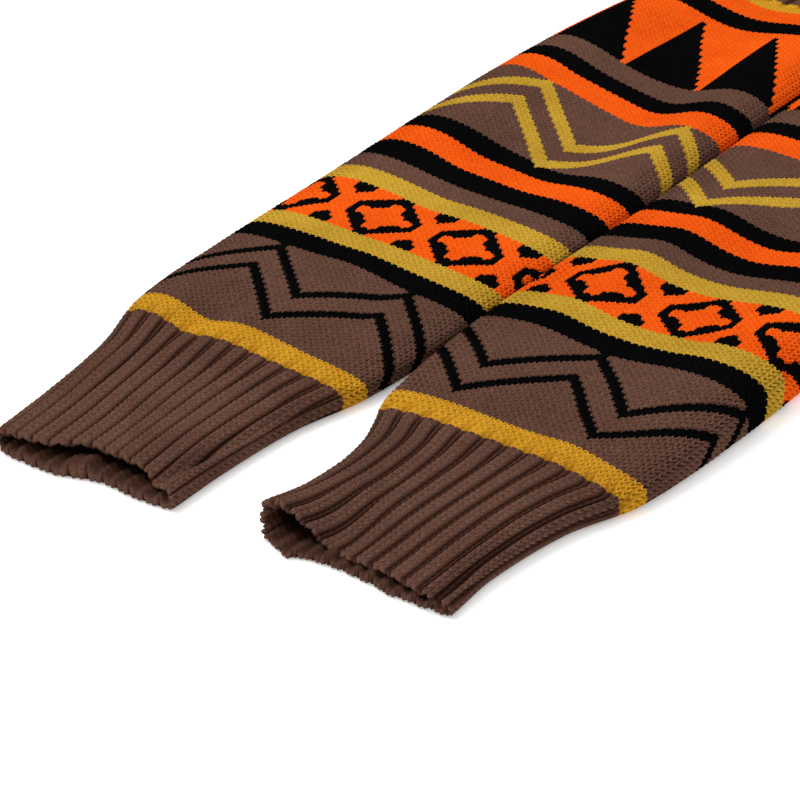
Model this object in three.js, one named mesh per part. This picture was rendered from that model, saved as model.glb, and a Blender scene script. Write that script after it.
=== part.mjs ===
// A pair of knitted leg warmers lying flat, side by side.
// Each one is a patterned tube between two ribbed cuffs, and it is open at both ends.
// Millimetres, +Z up. The legs run along +Y, from the ankle mouths to the knee mouths.
import * as THREE from 'three';

// Driving sizes
const WALL = 2.5; // thickness of the plain knit
const RIB_WALL = 1.8; // thickness of the rib knit in its grooves
const RIB_HEIGHT = 1.2; // how far the ribs stand above their grooves
const RIBS = 27; // ribs round a cuff, each two plain stitches and one purl
const RIB_PLACES = [0.1, 0.6, 0.85]; // a rib's two edges and its groove, as shares of its pitch
const TUBE_LENGTH = 400.2;
const KNEE_CUFF_LENGTH = 60;
const SEAM_GAP = 0.3; // between a cuff and the tube
const TUBE_STEPS = 18; // stretches of the tube mesh along the leg
const TUBE_POINTS = 42; // points round the tube
const ANKLE_STATIONS = [0, 0.12, 0.3, 0.52, 0.76, 1]; // sections of the ankle cuff, as shares
const KNEE_STEPS = 3;

// How the cloth rounds at its side edges
const SIDE_ROUNDNESS = 0.75; // 1 is an ellipse, less is squarer
const TOP_ROUNDNESS = 0.7;
const EDGE_HEIGHT = 0.45; // height of the widest place, as a share of the roll beside it
const UNDERSIDE_CURVE = 0.55; // where the side curve meets the flat underside, as a sine
const ROLL_PLACE = 0.85; // where the side rolls are highest, as a share of the half width
const OUTLINE_SAMPLES = 240;

// Colours
const RIB_BROWN = 0x5f4740;
const TUBE_RUST = 0x8a5236;

// Where the knee cuff ends, from the ankle end of the tube
const KNEE_END = TUBE_LENGTH + KNEE_CUFF_LENGTH;

// Each row is a section across the leg: its place along the leg from the ankle end of the
// patterned tube, the side shift of its middle, its flat width, and how high the cloth stands
// at the left roll, the middle and the right roll.
const LEFT_SECTIONS = [
  { along: -85, centre: -110, width: 77, left: 12, middle: 11, right: 11 },
  { along: -55, centre: -112, width: 80, left: 13, middle: 11, right: 12 },
  { along: -20, centre: -114, width: 88, left: 15, middle: 12, right: 12 },
  { along: 10, centre: -115.5, width: 104, left: 18, middle: 13, right: 12 },
  { along: 70, centre: -117, width: 114, left: 17, middle: 15, right: 14 },
  { along: 130, centre: -117.5, width: 115.5, left: 19, middle: 15, right: 15 },
  { along: 190, centre: -117.5, width: 116, left: 23, middle: 15, right: 17 },
  { along: 250, centre: -117.5, width: 116, left: 26, middle: 15, right: 21 },
  { along: 320, centre: -117.5, width: 115.5, left: 25, middle: 13, right: 23 },
  { along: 393, centre: -117.5, width: 108, left: 20, middle: 13, right: 18 },
  { along: 424, centre: -117, width: 95, left: 15, middle: 12, right: 14 },
  { along: KNEE_END, centre: -116.5, width: 92, left: 13, middle: 12, right: 13 },
];
const RIGHT_SECTIONS = [
  { along: -81, centre: 3, width: 84, left: 21, middle: 9, right: 10 },
  { along: -55, centre: 1, width: 80, left: 14, middle: 11, right: 13 },
  { along: -20, centre: 0.5, width: 86, left: 12, middle: 12, right: 14 },
  { along: 10, centre: 0.5, width: 107, left: 13, middle: 13, right: 13 },
  { along: 70, centre: 1, width: 116.5, left: 17, middle: 15, right: 22 },
  { along: 130, centre: 1, width: 117.5, left: 17, middle: 15, right: 23 },
  { along: 190, centre: 1, width: 118, left: 16, middle: 14, right: 21 },
  { along: 250, centre: 1, width: 118, left: 18, middle: 14, right: 20 },
  { along: 320, centre: 1, width: 117, left: 20, middle: 15, right: 19 },
  { along: 393, centre: 1, width: 109, left: 18, middle: 14, right: 17 },
  { along: 424, centre: 0.5, width: 96, left: 14, middle: 12, right: 14 },
  { along: KNEE_END, centre: 0, width: 93, left: 13, middle: 12, right: 13 },
];

// Each row is a soft fold in the upper side: its two ends, as a place along the leg and a
// distance to the right of its middle, its half width, and its height, below zero in a trough.
const LEFT_FOLDS = [
  { from: [120, 14], to: [355, 24], spread: 17, height: -6 },
  { from: [-25, -24], to: [45, -18], spread: 10, height: -4 },
  { from: [-30, -2], to: [115, 2], spread: 14, height: 3 },
  { from: [140, -20], to: [205, -8], spread: 12, height: -1.5 },
  { from: [-110, 20], to: [-35, 14], spread: 12, height: 1.5 },
];
const RIGHT_FOLDS = [
  { from: [30, -28], to: [250, -26], spread: 13, height: 3.5 },
  { from: [0, -4], to: [55, 6], spread: 12, height: -1.5 },
  { from: [135, 0], to: [245, 6], spread: 14, height: -2 },
  { from: [-10, 26], to: [40, 22], spread: 11, height: 1.5 },
  { from: [255, -22], to: [375, -10], spread: 15, height: -2 },
  { from: [-120, -12], to: [-40, -10], spread: 9, height: -2.5 },
];

// Each leg warmer's shift along the leg from its neighbour, and the place of its ankle mouth.
// The left ankle cuff is stretched a little longer than the right one.
const LEG_WARMERS = [
  { name: 'left', shift: -3, mouth: -85, sections: LEFT_SECTIONS, folds: LEFT_FOLDS },
  { name: 'right', shift: 0, mouth: -81, sections: RIGHT_SECTIONS, folds: RIGHT_FOLDS },
];

// A smooth curve through one column of a table of sections, and its slope
function curveAt(rows, along, column) {
  let i = 0;
  while (i < rows.length - 2 && along > rows[i + 1].along) i += 1;
  const before = rows[Math.max(i - 1, 0)];
  const start = rows[i];
  const end = rows[i + 1];
  const after = rows[Math.min(i + 2, rows.length - 1)];
  const span = end.along - start.along;
  const startSlope = (end[column] - before[column]) / (end.along - before.along);
  const endSlope = (after[column] - start[column]) / (after.along - start.along);
  const t = THREE.MathUtils.clamp((along - start.along) / span, 0, 1);
  const rise = end[column] - start[column];
  const bend = (startSlope + endSlope) * span - 2 * rise;
  const lean = 3 * rise - (2 * startSlope + endSlope) * span;
  const value = start[column] + t * (startSlope * span + t * (lean + t * bend));
  const slope = (startSlope * span + t * (2 * lean + 3 * t * bend)) / span;
  return { value, slope };
}

// How much one fold lifts or lowers the cloth at a place
function foldHeight(fold, along, across) {
  const t = (along - fold.from[0]) / (fold.to[0] - fold.from[0]);
  if (t <= 0 || t >= 1) return 0;
  const middle = THREE.MathUtils.lerp(fold.from[1], fold.to[1], t);
  const off = (across - middle) / fold.spread;
  return fold.height * Math.sin(Math.PI * t) ** 2 * Math.exp(-off * off);
}

// Height of the upper side of the cloth
function topHeight(leg, along, across, half, section) {
  const share = THREE.MathUtils.smoothstep(Math.abs(across) / half, 0, ROLL_PLACE);
  const roll = across < 0 ? section.left : section.right;
  let height = THREE.MathUtils.lerp(section.middle, roll, share);
  for (const fold of leg.folds) height += foldHeight(fold, along, across);
  return height;
}

// The closed outline of a section, from the middle of its flat underside round by the right
function sectionOutline(leg, along) {
  const section = {};
  for (const column of ['width', 'left', 'middle', 'right']) {
    section[column] = curveAt(leg.sections, along, column).value;
  }
  const half = section.width / 2;
  const points = [];
  for (let i = 0; i <= OUTLINE_SAMPLES; i += 1) {
    const angle = (2 * Math.PI * i) / OUTLINE_SAMPLES - Math.PI / 2;
    const side = Math.sign(Math.cos(angle)) * Math.abs(Math.cos(angle)) ** SIDE_ROUNDNESS;
    const across = half * side;
    const edge = EDGE_HEIGHT * (side < 0 ? section.left : section.right);
    const rise = Math.abs(Math.sin(angle));
    let up;
    if (Math.sin(angle) > 0) {
      const top = topHeight(leg, along, across, half, section);
      up = edge + (top - edge) * rise ** TOP_ROUNDNESS;
    } else {
      const left = 1 - Math.min(1, rise / UNDERSIDE_CURVE);
      up = edge * (1 - Math.sqrt(1 - left * left));
    }
    points.push(new THREE.Vector2(across, up));
  }
  return points;
}

// Points at given shares of the outline's length, each with its outward direction
function pointsAlongOutline(outline, shares) {
  const lengths = [0];
  for (let i = 1; i < outline.length; i += 1) {
    lengths.push(lengths[i - 1] + outline[i].distanceTo(outline[i - 1]));
  }
  const total = lengths[lengths.length - 1];
  let i = 1;
  return shares.map((share) => {
    while (i < outline.length - 1 && lengths[i] < share * total) i += 1;
    const t = (share * total - lengths[i - 1]) / (lengths[i] - lengths[i - 1]);
    const step = new THREE.Vector2().subVectors(outline[i], outline[i - 1]).normalize();
    const place = new THREE.Vector2().lerpVectors(outline[i - 1], outline[i], t);
    return { place, out: new THREE.Vector2(step.y, -step.x) };
  });
}

// Moves a point of a section to its place in the pair
function placePoint(leg, along, point) {
  const centre = curveAt(leg.sections, along, 'centre');
  const turn = Math.atan(centre.slope);
  return new THREE.Vector3(
    centre.value + point.x * Math.cos(turn),
    leg.shift + along - point.x * Math.sin(turn),
    point.y,
  );
}

// One ring of the wall: outer points, sunk in the grooves above the floor, and inner points
function wallRing(leg, along, knit) {
  const outer = [];
  const inner = [];
  pointsAlongOutline(sectionOutline(leg, along), knit.shares).forEach(({ place, out }, i) => {
    const clearOfFloor = THREE.MathUtils.clamp(place.y / RIB_HEIGHT - 1, 0, 1);
    const sunk = knit.grooves[i % knit.grooves.length] * clearOfFloor;
    outer.push(placePoint(leg, along, place.clone().addScaledVector(out, -sunk)));
    inner.push(placePoint(leg, along, place.clone().addScaledVector(out, -knit.thickness)));
  });
  return { outer, inner };
}

// A tube of cloth with a wall, closed at its two rims
function wallTube(leg, stations, knit) {
  const count = knit.shares.length;
  const rings = stations.map((along) => wallRing(leg, along, knit));
  const positions = [];
  for (const ring of rings) {
    for (const point of [...ring.outer, ...ring.inner]) positions.push(...point.toArray());
  }
  const triangles = [];
  const addQuad = (a, b, c, d) => triangles.push(a, b, c, a, c, d);
  const outerIndex = (station, i) => station * 2 * count + (i % count);
  const innerIndex = (station, i) => outerIndex(station, i) + count;
  const last = stations.length - 1;
  for (let i = 0; i < count; i += 1) {
    for (let s = 0; s < last; s += 1) {
      addQuad(outerIndex(s, i), outerIndex(s + 1, i), outerIndex(s + 1, i + 1), outerIndex(s, i + 1));
      addQuad(innerIndex(s, i), innerIndex(s, i + 1), innerIndex(s + 1, i + 1), innerIndex(s + 1, i));
    }
    addQuad(outerIndex(0, i), outerIndex(0, i + 1), innerIndex(0, i + 1), innerIndex(0, i));
    addQuad(outerIndex(last, i), innerIndex(last, i), innerIndex(last, i + 1), outerIndex(last, i + 1));
  }
  const geometry = new THREE.BufferGeometry();
  geometry.setAttribute('position', new THREE.Float32BufferAttribute(positions, 3));
  geometry.setIndex(triangles);
  geometry.computeVertexNormals();
  return geometry;
}

// Shares of the way round at which a rib has its two edges and the bottom of its groove
function ribShares() {
  const shares = [];
  for (let rib = 0; rib < RIBS; rib += 1) {
    for (const place of RIB_PLACES) shares.push((rib + place) / RIBS);
  }
  return shares;
}

function evenSteps(start, end, steps) {
  return Array.from({ length: steps + 1 }, (_, i) => start + ((end - start) * i) / steps);
}

const ribKnit = {
  thickness: RIB_WALL + RIB_HEIGHT,
  shares: ribShares(),
  grooves: [0, 0, RIB_HEIGHT],
};
const plainKnit = {
  thickness: WALL,
  shares: evenSteps(0, 1, TUBE_POINTS).slice(0, -1),
  grooves: [0],
};

function clothMesh(name, geometry, colour) {
  const cloth = new THREE.MeshStandardMaterial({ color: colour, roughness: 0.95, metalness: 0 });
  const mesh = new THREE.Mesh(geometry, cloth);
  mesh.name = name;
  return mesh;
}

function ankleCuff(leg) {
  const stations = ANKLE_STATIONS.map((share) => leg.mouth + share * (-SEAM_GAP - leg.mouth));
  return clothMesh(`${leg.name}_ankle_cuff`, wallTube(leg, stations, ribKnit), RIB_BROWN);
}

function legTube(leg) {
  const stations = evenSteps(0, TUBE_LENGTH, TUBE_STEPS);
  return clothMesh(`${leg.name}_leg_tube`, wallTube(leg, stations, plainKnit), TUBE_RUST);
}

function kneeCuff(leg) {
  const stations = evenSteps(TUBE_LENGTH + SEAM_GAP, KNEE_END, KNEE_STEPS);
  return clothMesh(`${leg.name}_knee_cuff`, wallTube(leg, stations, ribKnit), RIB_BROWN);
}

const pair = new THREE.Group();
for (const leg of LEG_WARMERS) pair.add(ankleCuff(leg), legTube(leg), kneeCuff(leg));

// The origin is on the floor, under the middle of the pair
const middle = new THREE.Box3().setFromObject(pair).getCenter(new THREE.Vector3());
pair.position.set(-middle.x, -middle.y, 0);

export default pair;
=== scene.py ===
"""A pair of knitted leg warmers lying flat, with patterned tubes between ribbed cuffs.

Metres, in the frame of the solids: +Y runs from the ankle mouths to the knee mouths.
Every stitch is modelled: two slanted legs of yarn with a small hole between them.
"""
import math

import bpy
import numpy as np
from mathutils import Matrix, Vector


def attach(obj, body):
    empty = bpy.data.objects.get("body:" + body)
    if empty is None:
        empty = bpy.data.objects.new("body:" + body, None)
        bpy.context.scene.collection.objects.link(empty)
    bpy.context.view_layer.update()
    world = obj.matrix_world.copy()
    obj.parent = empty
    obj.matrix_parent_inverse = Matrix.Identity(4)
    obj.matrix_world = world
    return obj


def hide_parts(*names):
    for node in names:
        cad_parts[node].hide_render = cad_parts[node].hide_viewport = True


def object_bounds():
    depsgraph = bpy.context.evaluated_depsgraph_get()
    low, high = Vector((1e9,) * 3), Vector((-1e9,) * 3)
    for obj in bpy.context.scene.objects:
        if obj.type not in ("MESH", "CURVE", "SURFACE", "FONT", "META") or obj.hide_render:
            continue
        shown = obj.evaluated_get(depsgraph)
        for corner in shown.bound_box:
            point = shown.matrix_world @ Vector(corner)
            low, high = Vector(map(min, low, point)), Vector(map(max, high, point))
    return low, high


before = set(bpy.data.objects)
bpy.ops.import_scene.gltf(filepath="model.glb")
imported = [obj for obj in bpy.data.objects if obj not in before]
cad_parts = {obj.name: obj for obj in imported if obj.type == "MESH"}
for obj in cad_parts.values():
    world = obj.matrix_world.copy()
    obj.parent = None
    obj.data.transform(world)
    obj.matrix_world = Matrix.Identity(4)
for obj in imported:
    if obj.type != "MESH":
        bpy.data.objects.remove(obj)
CAD_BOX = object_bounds()

# The knit, counted in wales round the leg and in courses along it
WALES = 81
COLUMNS = 4  # mesh columns in a wale
ROWS = 3  # mesh rows in a course
ANKLE_COURSES = 28
TUBE_COURSES = 138
KNEE_COURSES = 21
COURSE = 0.0029  # height of a course in the patterned tube
TUBE_LENGTH = TUBE_COURSES * COURSE
KNEE_CUFF_LENGTH = 0.060
KNEE_END = TUBE_LENGTH + KNEE_CUFF_LENGTH
TUBE_SPLIT = 69  # course at which the tube's mesh is parted in two pieces

# The wall
WALL = 0.0025
RIB_WALL = 0.0017  # the rib knit at a rib
RIB_DEPTH = 0.0016  # how deep a purl wale lies between two ribs
RIB_WALES = 3  # two plain wales and one purl
PURL_SHARE = 0.13  # share of a rib's pitch that its purl wale takes where the ribs draw together
OPEN_PURL_SHARE = 0.34  # the same where the ribs are stretched open
OPEN_COURSES = 10  # courses of the cuff over which the ribs draw together away from the tube
RIB_FADE = 1.5  # courses of the cuff over which the rib starts at the tube
RIB_RUN_ON = 3.0  # courses of the tube's end stripe into which the ribs still run on
SWAY = 0.0005  # how far a wale wanders sideways
WANDER = 0.0006  # how far a course wanders along the leg
EDGE_JITTER = 0.0004  # how unevenly the stitches of a mouth's edge lie
MOUTH_FIRM = 4  # courses in from a mouth over which its edge stays straight
EDGE_BULGE = 1.5  # courses in from a mouth over which the rib ends stick out
FLOOR_FADE = 0.0012  # height at which stitches start to stand out, above the flat underside
LIP = 0.0007  # how far the cast-on edge bulges past the last course
RIB_END = 0.0009  # how far the end of a rib sticks out past the purl wales beside it
MOUTH_COURSES = 14  # courses over which the drawn back edges of a mouth ease into the cuff

# How deep the cloth lies at each quarter of a wale across one rib, as a share of RIB_DEPTH
RIB_PROFILE = (0.55, 0.10, 0, 0.04, 0.26, 0.04, 0, 0.10, 0.55, 0.95, 1.0, 0.95)
OPEN_RIB_PROFILE = (0.85, 0.18, 0, 0.05, 0.30, 0.05, 0, 0.18, 0.85, 1.0, 0.50, 1.0)
INNER_RIB_PROFILE = (0.9, 0.6, 0.3, 0.1, 0, 0.1, 0.3, 0.6, 0.9, 1, 1, 1)

# The shape of a stitch, in metres outwards, for each third of its course and quarter of its wale
STITCH_RELIEF = 0.001 * np.array([
    (-0.26, 0.36, -0.06, 0.36),  # the legs swell above the stitch below
    (-0.30, 0.30, -0.60, 0.30),
    (-0.48, 0.02, -0.46, 0.02),  # the next stitch hooks over them
])
INNER_KNOTS = 0.001 * np.array([  # the purl bumps inside a mouth
    (-0.2, 0.5, -0.1, 0.5),
    (0.1, 0.7, 0.1, 0.7),
    (-0.4, -0.2, -0.4, -0.2),
])
VEE = (0.0007, 0.0, -0.0007, 0.0)  # how far a course runs ahead along the leg, by quarter of a wale
UPPER_RELIEF = 0.60  # share of the relief on the pressed upper side, where the yarn blooms
ANKLE_RELIEF = 0.30  # added to it next to the ankle cuff, where the cloth is stretched
ANKLE_STRETCH = 45  # courses over which that wears off
SIDE_START = 0.70  # share of the half width at which the side's open stitches start
SIDE_RELIEF = 1.2  # share of the relief at the stretched sides
LUMPS = (0.8, 1.2)  # least and greatest share of the relief that one stitch has

# The shade inside a mouth: how dark it is at the edge, and the courses over which it deepens
MOUTH_SHADE = 0.4
SHADE_COURSES = (1.2, 3.2)
KNOT_COURSES = (3, 7)  # courses in from a mouth over which its inner stitches flatten

# How the cloth rounds at its side edges
SIDE_ROUNDNESS = 0.75
TOP_ROUNDNESS = 0.7
EDGE_HEIGHT = 0.45
UNDERSIDE_CURVE = 0.55
ROLL_PLACE = 0.85
OUTLINE_SAMPLES = 960

# Sections across each leg: place along the leg from the ankle end of the tube, side shift of
# the middle, flat width, and height of the left roll, the middle and the right roll
SECTION_COLUMNS = ("along", "centre", "width", "left", "middle", "right")
LEFT_SECTIONS = [
    (-0.085, -0.1100, 0.0770, 0.012, 0.011, 0.011),
    (-0.055, -0.1120, 0.0800, 0.013, 0.011, 0.012),
    (-0.020, -0.1140, 0.0880, 0.015, 0.012, 0.012),
    (0.010, -0.1155, 0.1040, 0.018, 0.013, 0.012),
    (0.070, -0.1170, 0.1140, 0.017, 0.015, 0.014),
    (0.130, -0.1175, 0.1155, 0.019, 0.015, 0.015),
    (0.190, -0.1175, 0.1160, 0.023, 0.015, 0.017),
    (0.250, -0.1175, 0.1160, 0.026, 0.015, 0.021),
    (0.320, -0.1175, 0.1155, 0.025, 0.013, 0.023),
    (0.393, -0.1175, 0.1080, 0.020, 0.013, 0.018),
    (0.424, -0.1170, 0.0950, 0.015, 0.012, 0.014),
    (KNEE_END, -0.1165, 0.0920, 0.013, 0.012, 0.013),
]
RIGHT_SECTIONS = [
    (-0.081, 0.0005, 0.0790, 0.021, 0.009, 0.010),
    (-0.055, 0.0000, 0.0780, 0.014, 0.011, 0.013),
    (-0.020, 0.0005, 0.0860, 0.012, 0.012, 0.014),
    (0.010, 0.0005, 0.1070, 0.013, 0.013, 0.013),
    (0.070, 0.0010, 0.1165, 0.017, 0.015, 0.022),
    (0.130, 0.0010, 0.1175, 0.017, 0.015, 0.023),
    (0.190, 0.0010, 0.1180, 0.016, 0.014, 0.021),
    (0.250, 0.0010, 0.1180, 0.018, 0.014, 0.020),
    (0.320, 0.0010, 0.1170, 0.020, 0.015, 0.019),
    (0.393, 0.0010, 0.1090, 0.018, 0.014, 0.017),
    (0.424, 0.0005, 0.0960, 0.014, 0.012, 0.014),
    (KNEE_END, 0.0000, 0.0930, 0.013, 0.012, 0.013),
]

# Soft folds in the upper side: place along and distance across at the two ends, half width,
# height. The large ones are in the solids, and the small creases are only here.
FOLD_COLUMNS = ("along_from", "across_from", "along_to", "across_to", "spread", "height")
LEFT_FOLDS = [
    (0.120, 0.014, 0.355, 0.024, 0.017, -0.0060),
    (-0.025, -0.024, 0.045, -0.018, 0.010, -0.0040),
    (-0.030, -0.002, 0.115, 0.002, 0.014, 0.0030),
    (0.140, -0.020, 0.205, -0.008, 0.012, -0.0015),
    (-0.110, 0.020, -0.035, 0.014, 0.012, 0.0015),
]
RIGHT_FOLDS = [
    (0.030, -0.028, 0.250, -0.026, 0.013, 0.0035),
    (0.000, -0.004, 0.055, 0.006, 0.012, -0.0015),
    (0.135, 0.000, 0.245, 0.006, 0.014, -0.0020),
    (-0.010, 0.026, 0.040, 0.022, 0.011, 0.0015),
    (0.255, -0.022, 0.375, -0.010, 0.015, -0.0020),
    (-0.120, -0.012, -0.040, -0.010, 0.009, -0.0025),
]
LEFT_CREASES = [
    (-0.150, 0.017, 0.010, 0.048, 0.0026, -0.0050),
    (-0.060, -0.020, -0.004, -0.028, 0.0030, -0.0008),
    (0.020, 0.030, 0.085, 0.022, 0.0060, -0.0008),
    (0.225, -0.032, 0.285, -0.020, 0.0070, -0.0010),
    (0.300, -0.006, 0.360, 0.004, 0.0060, 0.0008),
]
RIGHT_CREASES = [
    (-0.150, 0.024, 0.010, 0.047, 0.0026, -0.0046),
    (-0.115, 0.010, -0.050, 0.010, 0.0280, -0.0012),
    (-0.112, -0.020, -0.050, -0.018, 0.0120, -0.0052),
    (-0.070, -0.012, -0.010, -0.016, 0.0030, -0.0008),
    (0.060, 0.018, 0.125, 0.026, 0.0070, -0.0009),
    (0.175, -0.012, 0.235, -0.004, 0.0060, -0.0008),
    (0.290, 0.014, 0.350, 0.020, 0.0070, 0.0008),
]

# How far the edge of an ankle mouth is drawn back, at places across it from -1 at its left
# side to 1 at its right side
LEFT_UPPER_LIP = [
    (-1.0, -0.0005), (-0.66, -0.0017), (-0.44, -0.0010), (-0.22, 0.0043), (-0.06, 0.0072),
    (0.20, 0.0062), (0.60, 0.0048), (1.0, 0.0005),
]
LEFT_LOWER_LIP = [
    (-1.0, -0.0005), (-0.80, -0.0026), (-0.28, -0.0034), (0.0, 0.0002), (0.20, 0.0016),
    (0.45, 0.0006), (0.75, -0.0002), (1.0, 0.0005),
]
RIGHT_UPPER_LIP = [
    (-1.0, 0.0028), (-0.75, 0.0036), (-0.45, 0.0058), (-0.10, 0.0034), (0.30, 0.0017),
    (0.70, -0.0008), (1.0, 0.0008),
]
RIGHT_LOWER_LIP = [
    (-1.0, 0.0028), (-0.82, 0.0008), (-0.62, -0.0026), (-0.48, 0.0008), (-0.15, 0.0016),
    (0.15, 0.0014), (0.42, -0.0007), (0.70, 0.0004), (1.0, 0.0008),
]

# Places where the lower layer of an ankle mouth swells up inside: where it is across the
# mouth from -1 to 1, its spread and its height
LEFT_SWELLS = [(-0.04, 0.11, 0.0040), (0.50, 0.12, 0.0010), (-0.62, 0.12, 0.0012)]
RIGHT_SWELLS = [(-0.30, 0.10, 0.0009), (0.16, 0.12, 0.0012), (0.58, 0.10, 0.0007)]
SWELL_COURSES = 5  # how far in from the mouth it reaches

# The bands of the patterned tube, from the ankle cuff, with their heights in courses
BANDS = [
    ("amber", 4), ("black zigzag", 20), ("black", 4), ("gold", 4), ("diamonds", 12), ("gold", 4),
    ("brown", 4), ("black", 5), ("orange", 5), ("black", 4), ("gold zigzag", 20), ("orange", 5),
    ("black", 4), ("brown", 5), ("triangles", 24), ("black", 5), ("orange", 5), ("amber", 4),
]

# A zigzag is two lines of one yarn on brown: period in wales, rise, start of the lower line at
# its trough, thickness of a line, and distance of the upper line, in courses
ZIGZAGS = {
    "black zigzag": {
        "yarn": "black", "period": 20, "rise": 10, "start": 2, "thickness": 2, "apart": 6},
    "gold zigzag": {
        "yarn": "gold", "period": 22, "rise": 11, "start": -1, "thickness": 3, "apart": 7},
}
TRIANGLE_REPEAT = 12  # wales
TRIANGLE_STEP = 2  # courses for each wale that a triangle narrows

# Half of the diamond repeat: rows from the middle of the band outwards, and in each row the
# wales from the middle of a diamond outwards, # for black
DIAMOND = ("....#..", "..###..", ".###...", ".##...#", "##...##", "#....##")
DIAMOND_REPEAT = 13

# Each leg: its shift along from its neighbour, the place of its ankle mouth, and the wales at
# which its motifs stand. Wales are counted from the middle of the underside round by the left.
LEGS = [
    {
        "name": "left", "shift": -0.003, "mouth": -0.085, "seed": 3,
        "sections": LEFT_SECTIONS, "folds": LEFT_FOLDS + LEFT_CREASES,
        "upper_lip": LEFT_UPPER_LIP, "lower_lip": LEFT_LOWER_LIP, "swells": LEFT_SWELLS,
        "edge_swell": 0.0016, "ribs_open": 0.0, "upper_stretch": 0.0,
        "black zigzag": 31, "gold zigzag": 32, "diamonds": 37, "triangles": 36,
    },
    {
        "name": "right", "shift": 0.0, "mouth": -0.081, "seed": 8,
        "sections": RIGHT_SECTIONS, "folds": RIGHT_FOLDS + RIGHT_CREASES,
        "upper_lip": RIGHT_UPPER_LIP, "lower_lip": RIGHT_LOWER_LIP, "swells": RIGHT_SWELLS,
        "edge_swell": 0.0005, "ribs_open": 0.85, "upper_stretch": 0.022,
        "black zigzag": 39, "gold zigzag": 39, "diamonds": 44, "triangles": 36,
    },
]

# The yarns, in the order of their material slots
YARNS = ("brown", "black", "orange", "gold", "amber")


# The cloth's smooth form

def curve_at(rows, along, column):
    """A smooth curve through one column of a table of sections, and its slope."""
    places = np.array([row[0] for row in rows])
    values = np.array([row[SECTION_COLUMNS.index(column)] for row in rows])
    slopes = np.empty(len(rows))
    slopes[1:-1] = (values[2:] - values[:-2]) / (places[2:] - places[:-2])
    slopes[0] = (values[1] - values[0]) / (places[1] - places[0])
    slopes[-1] = (values[-1] - values[-2]) / (places[-1] - places[-2])
    i = np.clip(np.searchsorted(places, along) - 1, 0, len(rows) - 2)
    span = places[i + 1] - places[i]
    t = np.clip((along - places[i]) / span, 0, 1)
    rise = values[i + 1] - values[i]
    bend = (slopes[i] + slopes[i + 1]) * span - 2 * rise
    lean = 3 * rise - (2 * slopes[i] + slopes[i + 1]) * span
    value = values[i] + t * (slopes[i] * span + t * (lean + t * bend))
    slope = (slopes[i] * span + t * (2 * lean + 3 * t * bend)) / span
    return value, slope


def smoothstep(value, low, high):
    share = np.clip((value - low) / (high - low), 0, 1)
    return share * share * (3 - 2 * share)


def fold_heights(folds, along, across):
    """How much all folds together lift or lower the cloth."""
    total = np.zeros(np.broadcast(along, across).shape)
    for row in folds:
        fold = dict(zip(FOLD_COLUMNS, row))
        t = (along - fold["along_from"]) / (fold["along_to"] - fold["along_from"])
        middle = fold["across_from"] + (fold["across_to"] - fold["across_from"]) * t
        off = (across - middle) / fold["spread"]
        swell = np.sin(np.pi * np.clip(t, 0, 1)) ** 2
        total += fold["height"] * swell * np.exp(-off * off)
    return total


def section_outlines(leg, along):
    """Closed outlines from the middle of the underside round by the left, a row each."""
    section = {c: curve_at(leg["sections"], along, c)[0][:, None] for c in SECTION_COLUMNS[2:]}
    angle = -np.pi / 2 - 2 * np.pi * np.arange(OUTLINE_SAMPLES + 1)[None] / OUTLINE_SAMPLES
    side = np.sign(np.cos(angle)) * np.abs(np.cos(angle)) ** SIDE_ROUNDNESS
    rise = np.abs(np.sin(angle))
    half = section["width"] / 2
    across = half * side
    roll = np.where(side < 0, section["left"], section["right"])
    share = smoothstep(np.abs(side), 0, ROLL_PLACE)
    top = section["middle"] + (roll - section["middle"]) * share
    top = top + fold_heights(leg["folds"], along[:, None], across)
    edge = EDGE_HEIGHT * roll
    left = 1 - np.minimum(1, rise / UNDERSIDE_CURVE)
    upper = edge + (top - edge) * rise ** TOP_ROUNDNESS
    under = edge * (1 - np.sqrt(1 - left * left))
    return across, np.where(np.sin(angle) > 0, upper, under)


def rib_strength(course):
    """1 in the cuffs and 0 in the tube, with a short change between them."""
    into_ankle = smoothstep(-course, -RIB_RUN_ON, RIB_FADE)
    into_knee = smoothstep(course - TUBE_COURSES, -RIB_RUN_ON, RIB_FADE)
    return into_ankle + into_knee


def rib_opening(leg, course):
    """1 where the ribs are stretched open, as next to the tube, and 0 where they draw together."""
    into_cuff = np.maximum(-course, course - TUBE_COURSES)
    return np.maximum(leg["ribs_open"], 1 - smoothstep(into_cuff, 2, OPEN_COURSES))


def column_shares(leg, course):
    """Each column's share of the way round, with the purl wales of a rib drawn in."""
    even = np.arange(WALES * COLUMNS) / (WALES * COLUMNS)
    ribs = WALES // RIB_WALES
    in_rib = (even * ribs) % 1
    plain = (RIB_WALES - 1) / RIB_WALES
    purl = (PURL_SHARE + (OPEN_PURL_SHARE - PURL_SHARE) * rib_opening(leg, course))[:, None]
    in_plain = in_rib / plain * (1 - purl)
    in_purl = 1 - (1 - in_rib) / (1 - plain) * purl
    drawn = (np.floor(even * ribs + 1e-9) + np.where(in_rib < plain, in_plain, in_purl)) / ribs
    drawn = drawn + leg["upper_stretch"] * np.sin(2 * np.pi * (drawn - 0.5))
    return even + (drawn - even) * rib_strength(course)[:, None]


def place_along(leg, course):
    """The place along the leg of a course, which is closer set in the cuffs."""
    ankle = course * -leg["mouth"] / ANKLE_COURSES
    tube = course * COURSE
    knee = TUBE_LENGTH + (course - TUBE_COURSES) * KNEE_CUFF_LENGTH / KNEE_COURSES
    return np.where(course < 0, ankle, np.where(course > TUBE_COURSES, knee, tube))


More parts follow.
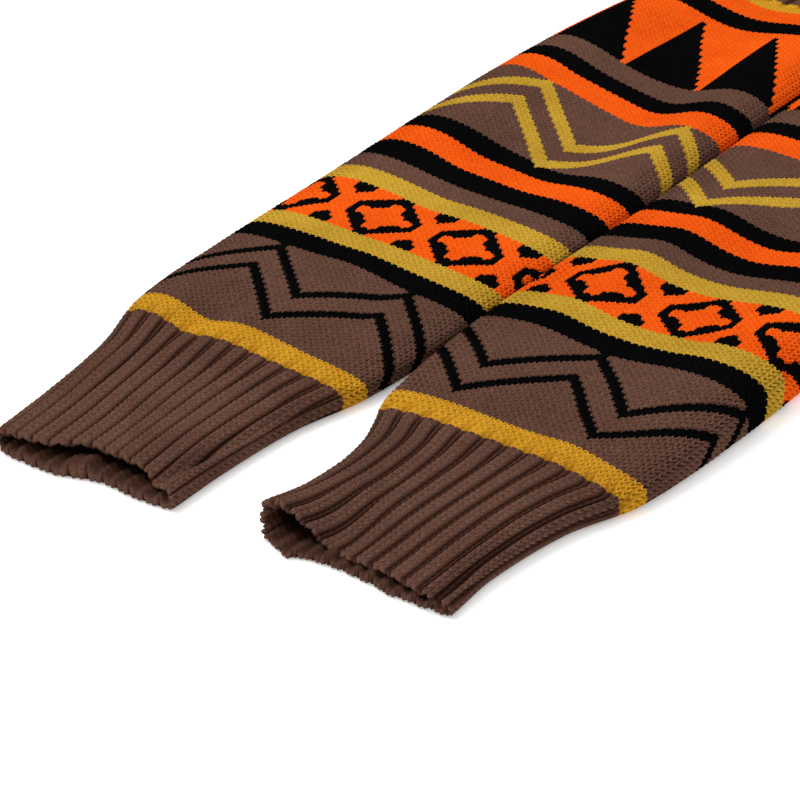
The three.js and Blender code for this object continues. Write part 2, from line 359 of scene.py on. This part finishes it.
def lip_back(leg, course, side, share):
    """How far each point is drawn back from the straight edge of the ankle mouth."""
    upper = (share > 0.25) & (share < 0.75)
    across, back = np.array(leg["upper_lip"]).T
    drawn = np.interp(side, across, back)
    across, back = np.array(leg["lower_lip"]).T
    drawn = np.where(upper, drawn, np.interp(side, across, back))
    return drawn * smoothstep(-course, ANKLE_COURSES - MOUTH_COURSES, ANKLE_COURSES)[:, None]


def smooth_cloth(leg, course, random):
    """Points of the smooth form at each row and column, and how far across each one is."""
    along = place_along(leg, course)
    across, up = section_outlines(leg, along)
    steps = np.hypot(np.diff(across, axis=1), np.diff(up, axis=1))
    lengths = np.concatenate([np.zeros((len(along), 1)), np.cumsum(steps, axis=1)], axis=1)
    shares = column_shares(leg, course)
    wanted = shares * lengths[:, -1:] + SWAY * soft_noise(random, shares.shape, 26)
    rows = range(len(along))
    x = np.stack([
        np.interp(wanted[r], lengths[r], across[r], period=lengths[r, -1]) for r in rows])
    z = np.stack([
        np.interp(wanted[r], lengths[r], up[r], period=lengths[r, -1]) for r in rows])
    centre, slope = curve_at(leg["sections"], along, "centre")
    turn = np.arctan(slope)[:, None]
    side = x / (curve_at(leg["sections"], along, "width")[0][:, None] / 2)
    back = lip_back(leg, course, side, shares)
    points = np.stack([
        centre[:, None] + x * np.cos(turn),
        leg["shift"] + along[:, None] + back - x * np.sin(turn),
        z,
    ], axis=-1)
    return points, side, shares


def directions(points):
    """Unit vectors along the leg and outwards at each point."""
    along = np.gradient(points, axis=0)
    around = np.roll(points, -1, axis=1) - np.roll(points, 1, axis=1)
    out = np.cross(around, along)
    along /= np.linalg.norm(along, axis=-1, keepdims=True)
    out /= np.linalg.norm(out, axis=-1, keepdims=True)
    return along, out


# The knit on that form

def soft_noise(random, shape, coarse):
    """Smooth random values from -1 to 1, which close up round the leg."""
    rows, columns = (max(2, round(n / coarse)) for n in shape)
    knots = random.uniform(-1, 1, (rows + 1, columns))
    knots = np.concatenate([knots, knots[:, :1]], axis=1)
    r = np.linspace(0, rows, shape[0])
    c = np.arange(shape[1]) * columns / shape[1]
    i, j = np.minimum(r.astype(int), rows - 1), c.astype(int)
    s = smoothstep(r - i, 0, 1)[:, None]
    t = smoothstep(c - j, 0, 1)[None]
    low = knots[np.ix_(i, j)] * (1 - t) + knots[np.ix_(i, j + 1)] * t
    high = knots[np.ix_(i + 1, j)] * (1 - t) + knots[np.ix_(i + 1, j + 1)] * t
    return low * (1 - s) + high * s


def rib_hollows(leg, course):
    """How deep each column lies in the grooves of a rib knit, as a share of RIB_DEPTH."""
    ribs = WALES // RIB_WALES
    closed = np.tile(RIB_PROFILE, ribs)[None]
    opened = np.tile(OPEN_RIB_PROFILE, ribs)[None]
    return closed + (opened - closed) * rib_opening(leg, course)[:, None]


def stitch_lumps(random, shape):
    """A random size for each stitch, as even as a machine's."""
    sizes = random.uniform(*LUMPS, (shape[0] // ROWS + 1, WALES))
    return np.repeat(np.repeat(sizes, ROWS, axis=0)[:shape[0]], COLUMNS, axis=1)


def mouth_swell(leg, course, side, share):
    """How much the lower layer is raised inside the ankle mouth."""
    reach = smoothstep(-course, ANKLE_COURSES - SWELL_COURSES, ANKLE_COURSES)[:, None]
    lower = (share < 0.25) | (share > 0.75)
    swell = leg["edge_swell"] * np.sqrt(1 - np.clip(side, -1, 1) ** 2)
    for place, spread, height in leg["swells"]:
        swell = swell + height * np.exp(-((side - place) / spread) ** 2)
    return swell * reach * lower


def knit_cloth(leg):
    """The outer and inner points of one whole leg warmer, and the shade of its stitches."""
    total = ANKLE_COURSES + TUBE_COURSES + KNEE_COURSES
    course = np.arange(total * ROWS + 1) / ROWS - ANKLE_COURSES
    random = np.random.default_rng(leg["seed"])
    points, side, share = smooth_cloth(leg, course, random)
    smooth_box = (points[..., 0].min(), points[..., 0].max())
    along, out = directions(points)
    height = points[..., 2]
    shape = height.shape

    row = np.arange(shape[0]) % ROWS
    column = np.arange(shape[1]) % COLUMNS
    ribbed = rib_strength(course)[:, None]
    clear = np.clip(height / FLOOR_FADE - 1, 0, 1)
    openness = smoothstep(np.abs(side), SIDE_START, 1)
    openness = np.clip(openness + 0.25 * soft_noise(random, shape, 60), 0, 1)
    upper = UPPER_RELIEF + ANKLE_RELIEF * (1 - smoothstep(course, 0, ANKLE_STRETCH))[:, None]
    stretch = (upper + (SIDE_RELIEF - upper) * openness) * (1 - 0.2 * ribbed)
    lumps = stitch_lumps(random, shape)
    sunk = rib_hollows(leg, course) * (0.85 + 0.15 * (row == 1))[:, None]

    relief = STITCH_RELIEF[row][:, column] * stretch * lumps - RIB_DEPTH * sunk * ribbed
    wander = WANDER * soft_noise(random, shape, 24)
    from_mouth = np.minimum(course + ANKLE_COURSES, course[-1] - course)
    ends = smoothstep(from_mouth, 0, MOUTH_FIRM)[:, None]
    jitter = EDGE_JITTER * (1 - ends) * soft_noise(random, shape, 9)
    bulge = RIB_END * (1 - smoothstep(from_mouth, 0, EDGE_BULGE))[:, None] * (0.4 - sunk)
    bulge = bulge * np.sign(course)[:, None] + jitter
    ahead = np.array(VEE)[column][None] * (1 - 0.4 * ribbed) + wander * ends + bulge
    outer = points + along * ahead[..., None] + out * (relief * clear)[..., None]
    outer[..., 2] = np.maximum(outer[..., 2], 0)

    inner_ribs = np.tile(INNER_RIB_PROFILE, WALES // RIB_WALES)[None]
    depth = WALL + (RIB_WALL - WALL) * ribbed + RIB_DEPTH * inner_ribs * ribbed
    near_mouth = 1 - smoothstep(from_mouth, *KNOT_COURSES)[:, None]
    knots = INNER_KNOTS[row][:, column] * lumps * near_mouth
    depth = depth + knots + mouth_swell(leg, course, side, share)
    inner = points + along * ahead[..., None] - out * depth[..., None]
    # pit: painted shade in the rib grooves; inside: painted shade on the inner walls, lighter only
    # at the edge of a mouth; open: how strongly the painted shade in a stitch's gaps shows, more at
    # the stretched sides
    return {
        "outer": outer, "inner": inner, "along": along, "smooth_box": smooth_box,
        "pit": smoothstep(sunk, 0.12, 0.85) * ribbed,
        "inside": MOUTH_SHADE + (1 - MOUTH_SHADE) * smoothstep(from_mouth, *SHADE_COURSES),
        "open": (upper - 0.25 + (1.25 - upper) * openness) * lumps * (1 - 0.35 * ribbed),
    }


# The chart of the pattern

def draw_zigzag(chart, start, zigzag, peak):
    """Two zigzag lines of one yarn, whose troughs may cut into the stripe below."""
    course = np.arange(len(chart))[:, None]
    away = (np.arange(WALES) - peak) % zigzag["period"]
    height = zigzag["rise"] - np.minimum(away, zigzag["period"] - away)
    for apart in (0, zigzag["apart"]):
        low = start + zigzag["start"] + apart + height[None]
        chart[(course >= low) & (course < low + zigzag["thickness"])] = YARNS.index(zigzag["yarn"])


def diamond_band(middle):
    """Hollow black diamonds on orange, with half diamonds between them at both edges."""
    half = np.array([[mark == "#" for mark in row] for row in DIAMOND])
    turn = (np.arange(WALES) - middle) % DIAMOND_REPEAT
    across = np.minimum(turn, DIAMOND_REPEAT - 1 - turn)
    rows = np.concatenate([np.arange(6)[::-1], np.arange(6)])
    return np.where(half[rows][:, across], YARNS.index("black"), YARNS.index("orange"))


def triangle_band(courses, start):
    """Black right-angled triangles on orange, upright along their left edge."""
    course = np.arange(courses)[:, None]
    across = (np.arange(WALES)[None] - start) % TRIANGLE_REPEAT
    black = across < TRIANGLE_REPEAT - 1 - course // TRIANGLE_STEP
    return np.where(black, YARNS.index("black"), YARNS.index("orange"))


def yarn_chart(leg):
    """The yarn of each stitch of one leg warmer, a row for each course."""
    total = ANKLE_COURSES + TUBE_COURSES + KNEE_COURSES
    chart = np.full((total, WALES), YARNS.index("brown"))
    start = ANKLE_COURSES
    zigzags = []
    for name, courses in BANDS:
        if name in ZIGZAGS:
            zigzags.append((start, name))
        elif name == "diamonds":
            chart[start:start + courses] = diamond_band(leg[name])
        elif name == "triangles":
            chart[start:start + courses] = triangle_band(courses, leg[name])
        else:
            chart[start:start + courses] = YARNS.index(name)
        start += courses
    for start, name in zigzags:
        draw_zigzag(chart, start, ZIGZAGS[name], leg[name])
    return chart


def face_yarns(chart):
    """The yarn of each mesh face: a stitch gives up a corner that three others surround."""
    fine = np.repeat(np.repeat(chart, ROWS, axis=0), COLUMNS, axis=1)
    fine = fine.reshape(len(chart), ROWS, WALES, COLUMNS)
    for up, near_row in ((1, ROWS - 1), (-1, 0)):
        for over, near_column in ((1, COLUMNS - 1), (-1, 0)):
            beyond = np.roll(chart, -up, axis=0)
            beside = np.roll(chart, -over, axis=1)
            corner = np.roll(beyond, -over, axis=1)
            cut = (beyond == beside) & (beyond == corner) & (beyond != chart)
            own = fine[:, near_row, :, near_column]
            fine[:, near_row, :, near_column] = np.where(cut, beyond, own)
    return fine.reshape(len(chart) * ROWS, WALES * COLUMNS)


# The meshes

def tube_quads(upper, lower, count):
    """Quads between two closed rings of points, facing along the first ring's outside."""
    i = np.arange(count)
    j = (i + 1) % count
    return np.stack([lower + i, lower + j, upper + j, upper + i], axis=1)


def cloth_piece(cloth, yarns, name, courses, inner_step, mouth=None):
    """A closed wall of knit between two courses, open at both ends of its hollow."""
    first, last = ((c + ANKLE_COURSES) * ROWS for c in courses)
    count = WALES * COLUMNS
    outer_rows = np.arange(first, last + 1)
    inner_rows = np.arange(first, last + 1, inner_step)
    if inner_rows[-1] != last:
        inner_rows = np.append(inner_rows, last)
    rings = [cloth["outer"][r] for r in outer_rows]
    pits = [cloth["pit"][r] for r in outer_rows]
    opens = [cloth["open"][r] for r in outer_rows]
    stations = list(outer_rows)

    def add_lip(row, toward):
        """A ring at the middle of the wall's thickness that rounds off a mouth."""
        middle = (cloth["outer"][row] + cloth["inner"][row]) / 2
        rings.append(middle + toward * LIP * cloth["along"][row])
        pits.append(cloth["pit"][row] * 0.6)
        opens.append(cloth["open"][row])
        stations.append(row)

    if mouth == "end":
        add_lip(last, 1)
    for r in inner_rows[::-1]:
        rings.append(cloth["inner"][r])
        # the inner wall is painted in shade, lighter only near the edge of a mouth
        pits.append(np.maximum(0.6 * (1 - cloth["pit"][r]), cloth["inside"][r]))
        opens.append(cloth["open"][r])
        stations.append(r)
    if mouth == "start":
        add_lip(first, -1)

    quads, rows = [], []
    for k in range(len(rings)):
        after = (k + 1) % len(rings)
        quads.append(tube_quads(after * count, k * count, count))
        rows.append(min(stations[k], stations[after], last - 1))
    faces = np.concatenate(quads)
    yarn = yarns[rows].ravel()

    mesh = bpy.data.meshes.new(name)
    points = np.concatenate(rings)
    mesh.vertices.add(len(points))
    mesh.vertices.foreach_set("co", points.astype(np.float32).ravel())
    mesh.loops.add(faces.size)
    mesh.loops.foreach_set("vertex_index", faces.ravel().astype(np.int32))
    mesh.polygons.add(len(faces))
    mesh.polygons.foreach_set("loop_start", np.arange(0, faces.size, 4, dtype=np.int32))
    mesh.update(calc_edges=True)
    for colour in YARNS:
        mesh.materials.append(MATERIALS[colour])
    mesh.polygons.foreach_set("material_index", yarn.astype(np.int32))
    mesh.polygons.foreach_set("use_smooth", np.ones(len(faces), dtype=bool))

    for key, values in (("pit", pits), ("open", opens)):
        layer = mesh.attributes.new(key, "FLOAT", "POINT")
        layer.data.foreach_set("value", np.concatenate(values).astype(np.float32))
    knit = mesh.uv_layers.new(name="knit")
    column = np.arange(count) / COLUMNS
    ring_courses = np.array(stations) / ROWS
    corner_wales = np.stack([column, column + 1 / COLUMNS, column + 1 / COLUMNS, column], axis=1)
    following = np.roll(ring_courses, -1)
    corner_courses = np.stack([ring_courses, ring_courses, following, following], axis=1)
    uv = np.empty((len(rings), count, 4, 2), dtype=np.float32)
    uv[..., 0] = corner_wales[None]
    uv[..., 1] = corner_courses[:, None]
    knit.data.foreach_set("uv", uv.ravel())
    mesh.validate()

    piece = bpy.data.objects.new(name, mesh)
    bpy.context.scene.collection.objects.link(piece)
    return piece


# Materials

def linear(hex_colour):
    """A colour for a shader, from its sRGB hex value."""
    shares = [int(hex_colour[i:i + 2], 16) / 255 for i in (1, 3, 5)]
    return [s / 12.92 if s <= 0.04045 else ((s + 0.055) / 1.055) ** 2.4 for s in shares] + [1]


def add_node(tree, kind, inputs=None, **settings):
    """A shader node with its settings, its input values and its links."""
    node = tree.nodes.new(kind)
    for name, value in settings.items():
        setattr(node, name, value)
    for key, value in (inputs or {}).items():
        if isinstance(value, bpy.types.NodeSocket):
            tree.links.new(value, node.inputs[key])
        else:
            node.inputs[key].default_value = value
    return node


def calc(tree, operation, *values):
    """The result of one sum in a material."""
    return add_node(tree, "ShaderNodeMath", dict(enumerate(values)), operation=operation).outputs[0]


def fade(tree, value, start, end, low=1.0, high=0.0):
    """A soft change from one level to another as a value goes from its start to its end."""
    node = add_node(tree, "ShaderNodeMapRange", {
        "Value": value, "From Min": start, "From Max": end, "To Min": low, "To Max": high},
        interpolation_type="SMOOTHSTEP")
    return node.outputs["Result"]


def blend(tree, factor, first, second):
    """A colour between two others."""
    node = add_node(tree, "ShaderNodeMix", {"Factor": factor, "A": first, "B": second},
                    data_type="RGBA")
    return node.outputs["Result"]


FIBRE_MM = 0.6  # size of the fuzz, drawn a little coarser than the fibres so that it shows
HEATHER_MM = 6  # size of the mottling of the yarn's dye
SHADE_MM = 30  # size of the soft changes of shade from dyeing and handling
LEG_LEAN = 0.8  # courses by which the gap between two stitches climbs from the centre of a wale
LEFT_GAP = 0.35  # strength of the painted shade in the gaps beside the left legs, kept weaker than beside the right legs because of how the light falls


def noise(tree, size_mm, detail):
    """Soft noise whose spots are of a real size."""
    place = add_node(tree, "ShaderNodeTexCoord").outputs["Object"]
    node = add_node(tree, "ShaderNodeTexNoise", {
        "Vector": place, "Scale": 1000 / size_mm, "Detail": detail, "Roughness": 0.6})
    return node.outputs["Fac"]


def stitch_shadow(tree, wobble):
    """How deep the yarn lies within a stitch, drawn as painted shade and as bump: gaps between the
    legs, and a hole at the centre.
    """
    uv = add_node(tree, "ShaderNodeUVMap", uv_map="knit").outputs["UV"]
    place = add_node(tree, "ShaderNodeSeparateXYZ", {"Vector": uv})
    wale, course = place.outputs["X"], place.outputs["Y"]
    from_edge = calc(tree, "PINGPONG", wale, 0.5)
    lean = calc(tree, "MULTIPLY", from_edge, LEG_LEAN)
    moved = calc(tree, "MULTIPLY", wobble, 0.35)
    run = calc(tree, "ADD", calc(tree, "ADD", course, lean), moved)
    shifted = calc(tree, "ADD", run, 0.42 - LEG_LEAN / 2)
    from_gap = calc(tree, "PINGPONG", shifted, 0.5)
    # painted shade: the gaps beside the right legs are darker than those beside the left legs, for
    # how the light falls
    right = calc(tree, "GREATER_THAN", calc(tree, "FRACT", wale), 0.5)
    strength = calc(tree, "MULTIPLY_ADD", right, 0.85 - LEFT_GAP, LEFT_GAP)
    gap = calc(tree, "MULTIPLY", fade(tree, from_gap, 0.04, 0.22), strength)
    hole = calc(tree, "MULTIPLY", fade(tree, from_edge, 0.5, 0.30, 1.0, 0.0),
                fade(tree, from_gap, 0.10, 0.36))
    edge = fade(tree, from_edge, 0.0, 0.13, 0.5, 0.0)
    return calc(tree, "MAXIMUM", calc(tree, "MAXIMUM", gap, hole), edge)


def yarn_material(name, colour, deep, pale, tint, sheen):
    """Brushed acrylic yarn, knitted: matt and soft, with painted shade in the gaps between its
    stitches, in its rib grooves and inside its mouths.
    """
    material = bpy.data.materials.new(name)
    material.use_nodes = True
    tree = material.node_tree
    tree.nodes.clear()
    pit = add_node(tree, "ShaderNodeAttribute", attribute_name="pit").outputs["Fac"]
    opened = add_node(tree, "ShaderNodeAttribute", attribute_name="open").outputs["Fac"]
    fibres = noise(tree, FIBRE_MM, 3.0)
    shadow = stitch_shadow(tree, noise(tree, 1.2, 1.0))

    mottled = blend(tree, fade(tree, noise(tree, HEATHER_MM, 2.0), 0.38, 0.62, 0.0, 0.5),
                    linear(colour), linear(tint))
    bloom = blend(tree, fade(tree, fibres, 0.38, 0.66, 0.0, 0.8), mottled, linear(pale))
    worn = blend(tree, fade(tree, noise(tree, SHADE_MM, 2.0), 0.3, 0.7, 0.0, 0.18),
                 bloom, linear(deep))
    # painted shade in the gaps of the stitches, stronger where they are stretched open; the pit
    # attribute adds painted shade in the rib grooves and inside the mouths
    in_gap = calc(tree, "MULTIPLY", shadow, opened)
    grain = fade(tree, fibres, 0.35, 0.65, 0.75, 1.1)
    hollow = calc(tree, "MULTIPLY", calc(tree, "MAXIMUM", in_gap, pit), grain)
    knitted = blend(tree, calc(tree, "MINIMUM", hollow, 0.94), worn, linear(deep))

    stitch_bump = add_node(tree, "ShaderNodeBump", {
        "Height": in_gap, "Strength": 0.7, "Distance": 0.0005}, invert=True)
    fibre_bump = add_node(tree, "ShaderNodeBump", {
        "Height": fibres, "Strength": 0.6, "Distance": 0.0003,
        "Normal": stitch_bump.outputs["Normal"]})
    cloth = add_node(tree, "ShaderNodeBsdfPrincipled", {
        "Base Color": knitted, "Roughness": 0.95,
        "Specular IOR Level": 0.0, "Sheen Weight": sheen, "Sheen Roughness": 0.6,
        "Sheen Tint": linear(pale), "Normal": fibre_bump.outputs["Normal"]})
    add_node(tree, "ShaderNodeOutputMaterial", {"Surface": cloth.outputs["BSDF"]})
    return material


def floor_material():
    """Matt white paper sweep, lit through so that it stays white."""
    material = bpy.data.materials.new("white_paper_sweep")
    material.use_nodes = True
    shader = material.node_tree.nodes["Principled BSDF"]
    shader.inputs["Base Color"].default_value = linear("#fbfbfa")
    shader.inputs["Roughness"].default_value = 0.9
    shader.inputs["Specular IOR Level"].default_value = 0.1
    shader.inputs["Emission Color"].default_value = linear("#ffffff")
    shader.inputs["Emission Strength"].default_value = 0.22
    return material


# The yarns: each one's dye colour, the painted shade deep in its gaps, its pale fuzz, a second tone
# of its mottling, and its sheen
YARN_COLOURS_AND_SHADES = {
    # the ground and the ribs: a warm dull brown, with reddish painted shade in its gaps
    "brown": {
        "colour": "#563a2f", "deep": "#1c0906", "pale": "#715649", "tint": "#5e372b",
        "sheen": 0.03},
    # stripes, lines and triangles: a flat black that hides its own stitches
    "black": {
        "colour": "#050505", "deep": "#010101", "pale": "#0f0f10", "tint": "#080608",
        "sheen": 0.0},
    # stripes and grounds: a glowing orange with red shade between its stitches
    "orange": {
        "colour": "#e6510c", "deep": "#8c1c00", "pale": "#ec6a20", "tint": "#e84808",
        "sheen": 0.0},
    # the lines beside the diamonds and the upper zigzag: a dull mustard
    "gold": {
        "colour": "#b89028", "deep": "#553004", "pale": "#c8a442", "tint": "#b08320",
        "sheen": 0.0},
    # the end stripes next to the cuffs: a warmer and brighter yellow than the gold
    "amber": {
        "colour": "#c58d1e", "deep": "#5e2c04", "pale": "#d8a536", "tint": "#c07e18",
        "sheen": 0.0},
}
MATERIALS = {name: yarn_material(f"{name}_acrylic_yarn", **dye_and_shade) for name, dye_and_shade in YARN_COLOURS_AND_SHADES.items()}


# The garment

def pair_shift(cloths):
    """The move from the leg's own tables to the frame, whose origin is under the pair's middle."""
    low, high = (Vector(corner) for corner in CAD_BOX)
    widths = [c["smooth_box"] for c in cloths]
    left = min(box[0] for box in widths)
    right = max(box[1] for box in widths)
    near = min(leg["mouth"] + leg["shift"] for leg in LEGS)
    far = max(KNEE_END + leg["shift"] for leg in LEGS)
    return np.array([(low.x + high.x - left - right) / 2, (low.y + high.y - near - far) / 2, 0])


def declare(piece, node):
    """Attaches a piece to the root body and hides the solid that it stands for."""
    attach(piece, "root")
    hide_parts(node)


def leg_warmer(leg, cloth):
    """Two cuffs and the tube, whose mesh is in two pieces that meet along a course."""
    yarns = face_yarns(yarn_chart(leg))
    name = leg["name"]
    ankle = cloth_piece(
        cloth, yarns, f"{name}_ankle_rib", (-ANKLE_COURSES, 0), 1, mouth="start")
    lower = cloth_piece(
        cloth, yarns, f"{name}_tube_ankle_half", (0, TUBE_SPLIT), 3 * ROWS)
    upper = cloth_piece(
        cloth, yarns, f"{name}_tube_knee_half", (TUBE_SPLIT, TUBE_COURSES), 3 * ROWS)
    knee = cloth_piece(
        cloth, yarns, f"{name}_knee_rib", (TUBE_COURSES, TUBE_COURSES + KNEE_COURSES),
        ROWS, mouth="end")
    declare(ankle, f"{name}_ankle_cuff")
    declare(lower, f"{name}_leg_tube")
    declare(upper, f"{name}_leg_tube")
    declare(knee, f"{name}_knee_cuff")


def pair_of_leg_warmers():
    cloths = [knit_cloth(leg) for leg in LEGS]
    shift = pair_shift(cloths)
    for leg, cloth in zip(LEGS, cloths):
        cloth["outer"] += shift
        cloth["inner"] += shift
        leg_warmer(leg, cloth)
    return shift


# The stage

CAMERA_PLACE = (0.4620, -0.6721, 0.5103)  # from the ankle end of the right tube's middle line
CAMERA_DOWN = math.radians(30.58)
CAMERA_TURN = math.radians(36.8)
LENS_MM = 125.57
SENSOR_MM = 36.0
FLOOR_SIZE = 12
FLOOR_DROP = 0.0004  # how far the paper lies under the flat undersides, so that they don't flicker
SKY_STRENGTH = 0.75

# The lights, which all face the middle of the pair: place, size of a side and watts
LIGHTS = {
    "key": {"place": (-0.9, -0.5, 1.9), "size": 1.6, "watts": 26},
    "fill": {"place": (1.6, -1.2, 1.5), "size": 2.0, "watts": 10},
    "back": {"place": (0.2, 1.9, 1.3), "size": 1.6, "watts": 8},
}


def camera(shift):
    data = bpy.data.cameras.new("camera")
    data.lens = LENS_MM
    data.sensor_width = SENSOR_MM
    eye = bpy.data.objects.new("camera", data)
    eye.location = Vector(CAMERA_PLACE) + Vector(shift)
    eye.rotation_euler = (math.pi / 2 - CAMERA_DOWN, 0, CAMERA_TURN)
    bpy.context.scene.collection.objects.link(eye)
    bpy.context.scene.camera = eye


def floor():
    bpy.ops.object.select_all(action="DESELECT")
    bpy.ops.mesh.primitive_plane_add(size=FLOOR_SIZE, location=(0, 0, -FLOOR_DROP))
    plane = bpy.context.object
    plane.name = "floor"
    plane.data.materials.append(floor_material())


def softbox(name, place, size, watts):
    """A square area light that faces the middle of the pair."""
    data = bpy.data.lights.new(name, "AREA")
    data.size = size
    data.energy = watts
    light = bpy.data.objects.new(name, data)
    light.location = place
    light.rotation_euler = (-Vector(place)).to_track_quat("-Z", "Y").to_euler()
    bpy.context.scene.collection.objects.link(light)


def studio():
    for name, light in LIGHTS.items():
        softbox(name, **light)
    world = bpy.data.worlds.new("studio")
    world.use_nodes = True
    sky = world.node_tree.nodes["Background"]
    sky.inputs["Color"].default_value = (1, 1, 1, 1)
    sky.inputs["Strength"].default_value = SKY_STRENGTH
    bpy.context.scene.world = world
    bpy.context.scene.view_settings.view_transform = "Standard"


PAIR_SHIFT = pair_of_leg_warmers()
camera(PAIR_SHIFT)
floor()
studio()
